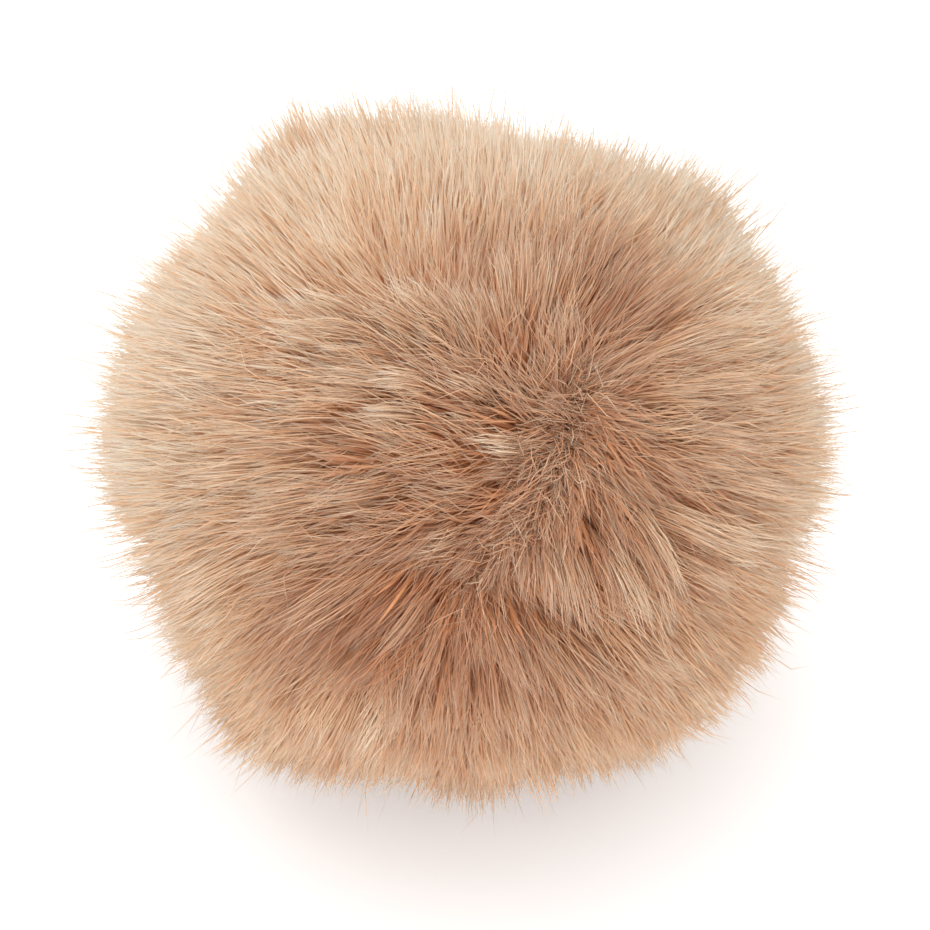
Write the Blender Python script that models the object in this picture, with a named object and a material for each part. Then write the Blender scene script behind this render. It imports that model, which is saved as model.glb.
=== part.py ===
"""A faux-fur pom pom: a disc of long-pile fur fabric, gathered round its edge into one stuffed ball.

Metres, +Z up, and -Y is the front. The origin is on the surface that the pom pom stands on, under its middle.
The gathered ball is the backing, and 294 four-sided locks of pile are drawn out of it. The pile is brushed away
from a parting on the upper front, and the locks underneath are short stubs that end level on the surface.

Every lock is a cell of one curved grid of directions round the middle, and pile_point carries a direction from
the backing out to the tips. It keeps directions in their order, so cells that are drawn in never meet.
"""

import random
from math import cos, exp, pi, radians, sin, sqrt, tan

import bmesh
import bpy
from mathutils import Vector

# The outer reach of the pile from the ball's middle.
HALF_WIDTH = 0.0545
HALF_DEPTH = 0.0530
RISE = 0.0485
DROP = 0.0520
MIDDLE_HEIGHT = 0.0450

# The stuffed backing under the pile.
BACKING_HALF_WIDTH = 0.0320
BACKING_HALF_DEPTH = 0.0310
BACKING_HALF_HEIGHT = 0.0290

# Tufts and hollows in the reach. Azimuth is from the front, positive to the right, and with elevation and
# spread is in degrees. The share is added to the reach.
SWELLINGS = (
    {"azimuth": -44, "elevation": -40, "spread": 16, "share": 0.06},
    {"azimuth": -75, "elevation": -17, "spread": 16, "share": -0.07},
    {"azimuth": -117, "elevation": 28, "spread": 16, "share": -0.06},
    {"azimuth": -144, "elevation": 44, "spread": 12, "share": 0.06},
    {"azimuth": 157, "elevation": 48, "spread": 16, "share": -0.05},
    {"azimuth": 122, "elevation": 32, "spread": 14, "share": 0.06},
    {"azimuth": 52, "elevation": -36, "spread": 20, "share": 0.04},
    {"azimuth": 26, "elevation": 19, "spread": 13, "share": 0.05},
    {"azimuth": 22, "elevation": 3, "spread": 9, "share": -0.07},
    {"azimuth": -9, "elevation": 17, "spread": 9, "share": -0.05},
)

# The pile is brushed away from the parting, which runs round the ball from a whorl at its head to one at its foot.
PARTING_HEAD = {"azimuth": 30, "elevation": 44}
PARTING_FOOT = {"azimuth": 4, "elevation": 13}

# How far the tips lean past their roots, as an arc round the ball: it rises within LEAN_RISE of the parting.
LEAN_MOST = radians(27)
LEAN_RISE = radians(14)
LEAN_BEND = 1.5

# The grid of locks: cells along each side of a cube that is blown up into a ball, and how uneven they are.
CELLS_A_SIDE = 7
CELL_JITTER = 0.20
TIP_JITTER = 0.30
SHORTEST_TIP = 0.93
SEED = 11

# A lock's sections: shares of the way out, and of the cell that they fill.
ROOT_SECTION = {"out": 0.0, "fill": 0.80}
LOCK_SECTIONS = (
    {"out": 0.34, "fill": 0.88},
    {"out": 0.66, "fill": 0.74},
    {"out": 0.87, "fill": 0.44},
)
LEVEL_END = {"out": 1.0, "fill": 0.74}

FUR_COLOUR = (0.60, 0.40, 0.25, 1.0)
FUR_ROUGHNESS = 0.9
SHARP_ANGLE = radians(70)


def direction_of(place):
    """The unit direction at an azimuth from the front and an elevation."""
    azimuth, elevation = radians(place["azimuth"]), radians(place["elevation"])
    return Vector((sin(azimuth) * cos(elevation), -cos(azimuth) * cos(elevation), sin(elevation)))


def ellipsoid_reach(direction, half_width, half_depth, half_height):
    """How far an ellipsoid's surface lies from its middle in a direction."""
    x, y, z = direction
    return 1 / sqrt((x / half_width) ** 2 + (y / half_depth) ** 2 + (z / half_height) ** 2)


def backing_reach(direction):
    return ellipsoid_reach(direction, BACKING_HALF_WIDTH, BACKING_HALF_DEPTH, BACKING_HALF_HEIGHT)


def pile_reach(direction):
    """How far the tips reach in a direction: an ellipsoid with tufts and hollows, stopped by the surface."""
    half_height = RISE if direction.z > 0 else DROP
    reach = ellipsoid_reach(direction, HALF_WIDTH, HALF_DEPTH, half_height)
    for swelling in SWELLINGS:
        arc = direction_of(swelling).angle(direction)
        reach *= 1 + swelling["share"] * exp(-((arc / radians(swelling["spread"])) ** 2))
    if direction.z < 0:
        reach = min(reach, MIDDLE_HEIGHT / -direction.z)
    return reach


def nearest_of_parting(direction):
    """The point of the parting that is nearest to a direction."""
    head, foot = direction_of(PARTING_HEAD), direction_of(PARTING_FOOT)
    along = (direction - head).dot(foot - head) / (foot - head).length_squared
    return head.lerp(foot, min(1.0, max(0.0, along))).normalized()


def lean_at(direction):
    """The lean at a root, a tangent as long as its arc: away from the parting, and fading to none behind."""
    source = nearest_of_parting(direction)
    arc = source.angle(direction)
    if arc < 1e-6:
        return Vector((0, 0, 0))
    away = (direction * cos(arc) - source) / sin(arc)
    return away * LEAN_MOST * (1 - exp(-arc / LEAN_RISE)) * (1 - arc / pi)


def pile_point(direction, out):
    """Where pile rooted in a direction is at a share of the way out: it stands up first, and then leans over."""
    lean = lean_at(direction)
    arc = lean.length * out**LEAN_BEND
    leaned = direction * cos(arc) + lean.normalized() * sin(arc)
    backing, tips = backing_reach(leaned), pile_reach(leaned)
    return Vector((0, 0, MIDDLE_HEIGHT)) + leaned * (backing + (tips - backing) * out)


def drawn_in(corners, fill):
    """The corners of a cell, drawn in towards its middle."""
    middle = sum(corners, Vector()) / len(corners)
    return [middle.lerp(corner, fill).normalized() for corner in corners]


def set_section(face, corners, section):
    """Puts a lock's end face on one of its sections."""
    for vertex, corner in zip(face.verts, drawn_in(corners, section["fill"])):
        vertex.co = pile_point(corner, section["out"])


def ends_on_the_surface(corners):
    """Whether the whole end of a cell's lock would lie on the surface that the pom pom stands on."""
    return all(pile_point(corner, 1.0).z < 1e-6 for corner in drawn_in(corners, LEVEL_END["fill"]))


def set_tip(vertex, corners, dice):
    """Puts a lock's tip a little off the middle of its cell, and a little short of the full reach."""
    weights = [dice.random() for corner in corners]
    drift = sum((corner * weight for corner, weight in zip(corners, weights)), Vector()) / sum(weights)
    middle = sum(corners, Vector()) / len(corners)
    direction = middle.lerp(drift, TIP_JITTER / LOCK_SECTIONS[-1]["fill"]).normalized()
    vertex.co = pile_point(direction, dice.uniform(SHORTEST_TIP, 1.0))


def uneven_ball(mesh, dice):
    """A cube's grid of cells, blown up into a unit ball, with its inner grid points moved a little at random."""
    bmesh.ops.create_cube(mesh, size=2)
    bmesh.ops.subdivide_edges(mesh, edges=mesh.edges[:], cuts=CELLS_A_SIDE - 1, use_grid_fill=True)
    step = CELL_JITTER * 2 / CELLS_A_SIDE
    for vertex in mesh.verts:
        for axis in range(3):
            if abs(vertex.co[axis]) < 0.99:
                vertex.co[axis] += dice.uniform(-step, step)
        vertex.co = Vector([tan(share * pi / 4) for share in vertex.co]).normalized()


def drawn_out(mesh, face, corners, section):
    """The new end face of a lock that is drawn out by one more section."""
    end = bmesh.ops.extrude_discrete_faces(mesh, faces=[face])["faces"][0]
    set_section(end, corners, section)
    return end


def draw_out_locks(mesh, dice):
    """Insets every cell for a lock's root and extrudes it along the pile, to a point or to a level end."""
    faces = list(mesh.faces)
    backing = list(mesh.verts)
    cells = [[vertex.co.copy() for vertex in face.verts] for face in faces]
    bmesh.ops.inset_individual(mesh, faces=faces, thickness=0.02)
    for vertex in backing:
        vertex.co = pile_point(vertex.co.copy(), 0.0)
    for face, corners in zip(faces, cells):
        set_section(face, corners, ROOT_SECTION)
        for section in LOCK_SECTIONS:
            face = drawn_out(mesh, face, corners, section)
        if ends_on_the_surface(corners):
            drawn_out(mesh, face, corners, LEVEL_END)
        else:
            tip = bmesh.ops.poke(mesh, faces=[face])["verts"][0]
            set_tip(tip, corners, dice)


def fur_material():
    material = bpy.data.materials.new("fur_pile")
    material.use_nodes = True
    shader = material.node_tree.nodes["Principled BSDF"]
    shader.inputs["Base Color"].default_value = FUR_COLOUR
    shader.inputs["Roughness"].default_value = FUR_ROUGHNESS
    shader.inputs["Metallic"].default_value = 0.0
    return material


def fur_ball(collection):
    """The gathered ball with its locks, one closed body."""
    dice = random.Random(SEED)
    mesh = bmesh.new()
    uneven_ball(mesh, dice)
    draw_out_locks(mesh, dice)
    bmesh.ops.recalc_face_normals(mesh, faces=mesh.faces[:])
    data = bpy.data.meshes.new("fur_ball")
    mesh.to_mesh(data)
    mesh.free()
    data.shade_smooth()
    data.set_sharp_from_angle(angle=SHARP_ANGLE)
    data.materials.append(fur_material())
    ball = bpy.data.objects.new("fur_ball", data)
    collection.objects.link(ball)


def main():
    for leftover in list(bpy.data.objects):
        bpy.data.objects.remove(leftover, do_unlink=True)
    pom_pom = bpy.data.collections.new("pom_pom")
    bpy.context.scene.collection.children.link(pom_pom)
    fur_ball(pom_pom)


main()
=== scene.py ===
"""The finished faux-fur pom pom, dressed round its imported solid.

One gathered ball of fur fabric carries the pile. Every strand of pile is a thin closed needle that follows
the brushing: it stands up near the ball and lies over along the brush strokes towards its tip. The long
strands begin inside the short pile, a little way out from the ball. Strands gather into tufts, and tufts into
great locks.
"""

import math

import bpy
import numpy as np
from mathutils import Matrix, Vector


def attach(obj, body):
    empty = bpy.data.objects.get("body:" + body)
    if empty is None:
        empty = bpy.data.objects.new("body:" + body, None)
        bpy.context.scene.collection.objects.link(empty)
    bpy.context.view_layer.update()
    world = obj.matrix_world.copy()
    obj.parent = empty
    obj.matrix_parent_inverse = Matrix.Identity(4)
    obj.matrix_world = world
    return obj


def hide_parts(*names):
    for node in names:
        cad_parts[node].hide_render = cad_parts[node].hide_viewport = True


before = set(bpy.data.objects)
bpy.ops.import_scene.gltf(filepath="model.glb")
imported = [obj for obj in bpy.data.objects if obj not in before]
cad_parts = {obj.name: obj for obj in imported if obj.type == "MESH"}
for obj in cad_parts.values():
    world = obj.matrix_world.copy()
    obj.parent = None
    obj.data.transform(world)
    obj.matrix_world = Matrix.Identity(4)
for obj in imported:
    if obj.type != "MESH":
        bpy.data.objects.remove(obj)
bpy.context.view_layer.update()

NODE = "fur_ball"
SEED = 7
MILLIMETRE = 0.001

# The ball, in metres: its middle, the stuffed backing under the pile, and how far the standing pile reaches.
MIDDLE = np.array((0.0, 0.0, 0.045))
BACKING_HALF = np.array((0.0385, 0.0375, 0.0355))
REACH_HALF_WIDTH = 0.0560
REACH_HALF_DEPTH = 0.0540
REACH_RISE = 0.0492
REACH_DROP = 0.0515

# The camera looks down at the ball, and the brushing is laid out as it is seen from there.
VIEW_ELEVATION = math.radians(40)
TO_THE_RIGHT = np.array((1.0, 0.0, 0.0))
UP_THE_VIEW = np.array((0.0, math.sin(VIEW_ELEVATION), math.cos(VIEW_ELEVATION)))
TO_THE_EYE = np.array((0.0, -math.cos(VIEW_ELEVATION), math.sin(VIEW_ELEVATION)))

# The camera, how far off the ball's middle it aims, and the ball in its square frame: its middle and half
# width in pixels, and the radius in metres at which a place on it is read.
LENS = 100.0
SENSOR_WIDTH = 36.0
CAMERA_DISTANCE = 0.372
AIM_RIGHT = 0.0004
AIM_DOWN = 0.0029
AIM = MIDDLE + TO_THE_RIGHT * AIM_RIGHT - UP_THE_VIEW * AIM_DOWN
EYE = AIM + TO_THE_EYE * CAMERA_DISTANCE
FRAME_PIXELS = 930
FOCAL_PIXELS = FRAME_PIXELS * LENS / SENSOR_WIDTH
BALL_COLUMN = 462
BALL_ROW = 445
BALL_HALF_WIDTH = 385
SIGHT_RADIUS = 0.053

# Tufts and hollows of the outline: azimuth from the front and elevation in degrees, how far round they
# spread, and what share of the reach they add.
SWELLINGS = (
    {"azimuth": -44, "elevation": -40, "spread": 16, "share": 0.10},
    {"azimuth": -74, "elevation": -14, "spread": 15, "share": -0.17},
    {"azimuth": -95, "elevation": 10, "spread": 12, "share": -0.01},
    {"azimuth": -115, "elevation": 26, "spread": 14, "share": -0.08},
    {"azimuth": -142, "elevation": 43, "spread": 18, "share": 0.095},
    {"azimuth": 157, "elevation": 48, "spread": 16, "share": -0.09},
    {"azimuth": 122, "elevation": 32, "spread": 12, "share": 0.09},
    {"azimuth": 104, "elevation": 16, "spread": 10, "share": -0.04},
    {"azimuth": 82, "elevation": -14, "spread": 14, "share": -0.05},
    {"azimuth": 46, "elevation": -42, "spread": 18, "share": 0.06},
    {"azimuth": 8, "elevation": -48, "spread": 12, "share": 0.02},
)

# Whorls and the parting between them: here the pile stands up and is tangled. Places as seen from the camera
# in shares of the ball's half width, their size in degrees, and how calm the brushing is there.
WHORLS = (
    {"across": 0.34, "up": 0.20, "size": 3.5, "calm": 0.80},
    {"across": 0.34, "up": 0.08, "size": 3.5, "calm": 0.80},
    {"across": 0.30, "up": -0.04, "size": 3.0, "calm": 0.55},
    {"across": 0.22, "up": -0.14, "size": 3.0, "calm": 0.45},
    {"across": 0.14, "up": -0.26, "size": 3.0, "calm": 0.45},
    {"across": 0.05, "up": -0.38, "size": 4.0, "calm": 0.80},
)

# Where the pile stands higher or lower than round about: places, sizes in degrees, shares of the reach.
UNEVEN_PILE = (
    # the lower whorl and the edge of its fan lie deep
    {"across": 0.06, "up": -0.42, "size": 4.5, "higher": -0.09},
    {"across": -0.04, "up": -0.41, "size": 3.0, "higher": -0.07},
    {"across": -0.14, "up": -0.39, "size": 3.0, "higher": -0.05},
    # under the end of the hanging tuft
    {"across": 0.20, "up": -0.47, "size": 3.0, "higher": -0.08},
    {"across": 0.30, "up": -0.51, "size": 3.0, "higher": -0.08},
    {"across": 0.40, "up": -0.53, "size": 3.0, "higher": -0.06},
    # the hanging tuft, and the pile over the lap
    {"across": 0.30, "up": -0.34, "size": 6.0, "higher": 0.03},
    {"across": 0.02, "up": -0.22, "size": 6.0, "higher": 0.02},
    # the upper whorl
    {"across": 0.34, "up": 0.12, "size": 4.0, "higher": -0.03},
    # between the locks of the hanging tuft, and above it
    {"across": 0.36, "up": -0.30, "size": 1.8, "higher": -0.06},
    {"across": 0.37, "up": -0.38, "size": 1.8, "higher": -0.06},
    {"across": 0.21, "up": -0.14, "size": 1.6, "higher": -0.06},
    # pockets in the pile that lies to the left
    {"across": -0.32, "up": -0.02, "size": 2.2, "higher": -0.04},
    {"across": -0.02, "up": -0.06, "size": 2.2, "higher": -0.05},
    {"across": -0.19, "up": 0.28, "size": 1.6, "higher": -0.04},
    {"across": -0.29, "up": 0.24, "size": 1.6, "higher": -0.04},
    {"across": 0.12, "up": 0.19, "size": 2.0, "higher": -0.04},
    {"across": -0.34, "up": -0.29, "size": 1.8, "higher": -0.04},
    # slots in the upper fan
    {"across": 0.09, "up": 0.33, "size": 1.6, "higher": -0.05},
    {"across": 0.36, "up": 0.38, "size": 1.6, "higher": -0.05},
    {"across": 0.18, "up": 0.27, "size": 1.6, "higher": -0.05},
    # on the right
    {"across": 0.58, "up": -0.29, "size": 1.8, "higher": -0.04},
)

# Laps, where pile ends over the pile beyond it: a lap runs from one pixel to another, with the pile that ends
# there on its left, and lets strands pass that meet it within a share of their length.
LAPS = (
    # the upper pile over the lower fan
    {"from": (318, 566), "to": (400, 574), "passes": 0.45},
    {"from": (400, 574), "to": (450, 580), "passes": 0.35},
    {"from": (450, 580), "to": (490, 592), "passes": 0.30},
    # the end of the hanging tuft
    {"from": (490, 592), "to": (530, 612), "passes": 0.30},
    {"from": (530, 612), "to": (600, 636), "passes": 0.30},
    {"from": (600, 636), "to": (650, 630), "passes": 0.55},
    # pockets in the pile that lies to the left
    {"from": (374, 434), "to": (368, 474), "passes": 0.30},
    {"from": (374, 346), "to": (372, 364), "passes": 0.50},
    {"from": (408, 328), "to": (406, 348), "passes": 0.50},
    {"from": (345, 326), "to": (343, 343), "passes": 0.50},
    {"from": (402, 304), "to": (400, 322), "passes": 0.50},
    {"from": (372, 385), "to": (370, 400), "passes": 0.50},
    {"from": (366, 408), "to": (364, 424), "passes": 0.50},
    {"from": (498, 448), "to": (490, 488), "passes": 0.30},
    {"from": (486, 394), "to": (484, 408), "passes": 0.50},
    {"from": (508, 412), "to": (506, 427), "passes": 0.50},
    {"from": (342, 517), "to": (340, 533), "passes": 0.50},
    {"from": (356, 546), "to": (350, 568), "passes": 0.35},
    {"from": (270, 548), "to": (268, 564), "passes": 0.50},
    {"from": (280, 391), "to": (278, 407), "passes": 0.50},
    {"from": (246, 458), "to": (244, 474), "passes": 0.50},
    {"from": (238, 490), "to": (236, 506), "passes": 0.50},
    # the ridge below the upper fan
    {"from": (400, 300), "to": (330, 292), "passes": 0.35},
    {"from": (330, 292), "to": (275, 296), "passes": 0.40},
    # slots in the upper fan
    {"from": (494, 300), "to": (476, 296), "passes": 0.35},
    {"from": (506, 332), "to": (488, 328), "passes": 0.30},
    {"from": (521, 298), "to": (505, 296), "passes": 0.35},
    {"from": (558, 296), "to": (542, 296), "passes": 0.35},
    {"from": (612, 312), "to": (590, 312), "passes": 0.35},
    {"from": (540, 350), "to": (522, 350), "passes": 0.30},
    # by the hanging tuft and on the right
    {"from": (560, 488), "to": (552, 512), "passes": 0.30},
    {"from": (588, 528), "to": (612, 530), "passes": 0.30},
    {"from": (672, 566), "to": (682, 546), "passes": 0.35},
    {"from": (674, 640), "to": (684, 622), "passes": 0.35},
    # pockets in the lower fan
    {"from": (244, 574), "to": (252, 592), "passes": 0.40},
    {"from": (346, 634), "to": (356, 652), "passes": 0.35},
    {"from": (474, 670), "to": (494, 670), "passes": 0.35},
)

# How ragged a lap's edge is, as a share of a strand's length, the share of the strands that lie over it, and
# the share at which a strand that meets no lap is said to end.
LAP_RAGGED = 0.06
OVER_A_LAP = 0.12
NO_LAP = 1.1

# Locks that are laid over the rest: the pixels from which and to which they lie, how wide they are in
# millimetres, their shade from 0 deep to 1 pale, and how high they lie as a share of the reach.
LAID_LOCKS = (
    # pale locks of the upper fan
    {"from": (525, 312), "to": (496, 212), "wide": 2.4, "shade": 0.85, "high": 1.00},
    {"from": (538, 300), "to": (525, 208), "wide": 2.4, "shade": 0.80, "high": 1.01},
    {"from": (552, 318), "to": (558, 208), "wide": 2.4, "shade": 0.85, "high": 0.99},
    {"from": (567, 298), "to": (577, 208), "wide": 2.4, "shade": 0.80, "high": 1.01},
    {"from": (579, 314), "to": (596, 208), "wide": 2.4, "shade": 0.85, "high": 0.99},
    {"from": (590, 304), "to": (625, 206), "wide": 2.6, "shade": 0.80, "high": 1.00},
    {"from": (610, 334), "to": (650, 241), "wide": 2.6, "shade": 0.75, "high": 1.00},
    {"from": (625, 326), "to": (691, 272), "wide": 2.6, "shade": 0.75, "high": 1.00},
    {"from": (512, 326), "to": (463, 237), "wide": 2.4, "shade": 0.80, "high": 1.01},
    {"from": (500, 334), "to": (448, 262), "wide": 2.4, "shade": 0.80, "high": 1.00},
    {"from": (488, 322), "to": (421, 266), "wide": 2.4, "shade": 0.75, "high": 1.01},
    # locks that lie to the left
    {"from": (545, 450), "to": (463, 443), "wide": 3.2, "shade": 0.90, "high": 1.03},
    {"from": (540, 472), "to": (476, 474), "wide": 2.4, "shade": 0.60, "high": 1.01},
    {"from": (510, 392), "to": (440, 371), "wide": 2.4, "shade": 0.70, "high": 1.02},
    {"from": (440, 372), "to": (363, 380), "wide": 2.6, "shade": 0.80, "high": 1.02},
    {"from": (430, 404), "to": (350, 410), "wide": 2.2, "shade": 0.75, "high": 1.02},
    {"from": (398, 366), "to": (314, 373), "wide": 2.6, "shade": 0.80, "high": 1.02},
    {"from": (372, 310), "to": (288, 320), "wide": 2.6, "shade": 0.80, "high": 1.02},
    {"from": (334, 318), "to": (250, 324), "wide": 2.6, "shade": 0.85, "high": 1.02},
    {"from": (390, 338), "to": (306, 346), "wide": 2.4, "shade": 0.80, "high": 1.02},
    {"from": (378, 388), "to": (297, 393), "wide": 2.4, "shade": 0.75, "high": 1.02},
    {"from": (395, 492), "to": (308, 499), "wide": 3.0, "shade": 0.75, "high": 1.02},
    {"from": (478, 548), "to": (412, 546), "wide": 2.8, "shade": 0.80, "high": 1.03},
    {"from": (392, 288), "to": (338, 260), "wide": 2.6, "shade": 0.80, "high": 1.01},
    {"from": (362, 296), "to": (288, 285), "wide": 2.6, "shade": 0.85, "high": 1.02},
    {"from": (444, 300), "to": (383, 275), "wide": 2.6, "shade": 0.80, "high": 1.02},
    {"from": (424, 310), "to": (350, 295), "wide": 2.4, "shade": 0.75, "high": 1.02},
    {"from": (330, 496), "to": (243, 506), "wide": 3.0, "shade": 0.75, "high": 1.02},
    {"from": (324, 533), "to": (228, 528), "wide": 3.4, "shade": 0.80, "high": 1.03},
    {"from": (262, 470), "to": (180, 476), "wide": 3.0, "shade": 0.85, "high": 1.00},
    {"from": (272, 430), "to": (195, 428), "wide": 3.0, "shade": 0.85, "high": 1.00},
    {"from": (242, 362), "to": (165, 352), "wide": 3.2, "shade": 0.90, "high": 0.99},
    {"from": (305, 440), "to": (225, 446), "wide": 3.0, "shade": 0.75, "high": 1.02},
    # the edge of the upper pile over the lower fan
    {"from": (400, 532), "to": (322, 562), "wide": 2.6, "shade": 0.70, "high": 1.03},
    {"from": (452, 530), "to": (386, 566), "wide": 2.4, "shade": 0.65, "high": 1.02},
    {"from": (500, 545), "to": (440, 578), "wide": 2.4, "shade": 0.65, "high": 1.02},
    {"from": (520, 545), "to": (478, 590), "wide": 2.2, "shade": 0.65, "high": 1.02},
    # the hanging tuft
    {"from": (522, 500), "to": (499, 588), "wide": 2.4, "shade": 0.65, "high": 1.02},
    {"from": (534, 512), "to": (516, 602), "wide": 2.4, "shade": 0.75, "high": 1.03},
    {"from": (547, 518), "to": (541, 610), "wide": 2.4, "shade": 0.85, "high": 1.04},
    {"from": (561, 521), "to": (566, 624), "wide": 2.6, "shade": 0.90, "high": 1.05},
    {"from": (576, 530), "to": (588, 630), "wide": 2.4, "shade": 0.80, "high": 1.04},
    {"from": (606, 520), "to": (612, 634), "wide": 2.2, "shade": 0.65, "high": 1.03},
    {"from": (618, 530), "to": (638, 634), "wide": 2.8, "shade": 0.85, "high": 1.04},
    {"from": (610, 470), "to": (624, 566), "wide": 2.4, "shade": 0.60, "high": 1.02},
    {"from": (640, 500), "to": (662, 616), "wide": 2.4, "shade": 0.70, "high": 1.03},
    # the right side
    {"from": (644, 481), "to": (678, 604), "wide": 2.2, "shade": 0.80, "high": 1.03},
    {"from": (656, 508), "to": (730, 546), "wide": 3.2, "shade": 0.80, "high": 1.03},
    {"from": (675, 523), "to": (766, 556), "wide": 3.2, "shade": 0.85, "high": 1.00},
    {"from": (727, 540), "to": (800, 543), "wide": 3.0, "shade": 0.85, "high": 0.97},
    {"from": (664, 554), "to": (730, 586), "wide": 2.6, "shade": 0.70, "high": 1.02},
    {"from": (640, 430), "to": (700, 498), "wide": 2.4, "shade": 0.60, "high": 1.01},
    {"from": (668, 418), "to": (756, 444), "wide": 3.0, "shade": 0.75, "high": 1.02},
    {"from": (680, 380), "to": (770, 380), "wide": 3.0, "shade": 0.80, "high": 1.00},
    {"from": (656, 350), "to": (744, 322), "wide": 3.0, "shade": 0.75, "high": 1.02},
    {"from": (700, 470), "to": (786, 492), "wide": 3.0, "shade": 0.80, "high": 0.99},
    # the lower fan
    {"from": (398, 562), "to": (268, 626), "wide": 4.6, "shade": 0.90, "high": 1.03},
    {"from": (442, 590), "to": (376, 655), "wide": 1.6, "shade": 0.90, "high": 1.02},
    {"from": (456, 606), "to": (414, 686), "wide": 1.6, "shade": 0.80, "high": 1.02},
    {"from": (489, 618), "to": (530, 692), "wide": 1.8, "shade": 0.75, "high": 1.02},
    {"from": (504, 652), "to": (536, 746), "wide": 1.8, "shade": 0.80, "high": 1.02},
    {"from": (545, 656), "to": (590, 700), "wide": 2.0, "shade": 0.75, "high": 1.01},
    {"from": (468, 620), "to": (456, 706), "wide": 1.8, "shade": 0.65, "high": 1.01},
    {"from": (424, 586), "to": (338, 648), "wide": 2.6, "shade": 0.60, "high": 1.01},
    {"from": (404, 622), "to": (326, 694), "wide": 2.6, "shade": 0.75, "high": 1.01},
    {"from": (372, 612), "to": (280, 672), "wide": 2.6, "shade": 0.70, "high": 1.01},
    {"from": (430, 640), "to": (384, 726), "wide": 2.4, "shade": 0.75, "high": 1.01},
    {"from": (484, 640), "to": (494, 734), "wide": 2.0, "shade": 0.70, "high": 1.01},
    {"from": (340, 584), "to": (236, 592), "wide": 3.2, "shade": 0.75, "high": 1.02},
    {"from": (562, 652), "to": (642, 694), "wide": 2.6, "shade": 0.75, "high": 1.01},
    {"from": (606, 648), "to": (690, 672), "wide": 2.6, "shade": 0.75, "high": 1.01},
)

# The strands in such a lock, its width in a tuft's spreads, and the exponents by which its path rises from
# the ball and runs from its first place to its last.
LAID_LOCK_STRANDS = 45
SPREADS_A_LOCK = 4
LAID_LOCK_RISE = 1.9
LAID_LOCK_RUN = 1.4

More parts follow.
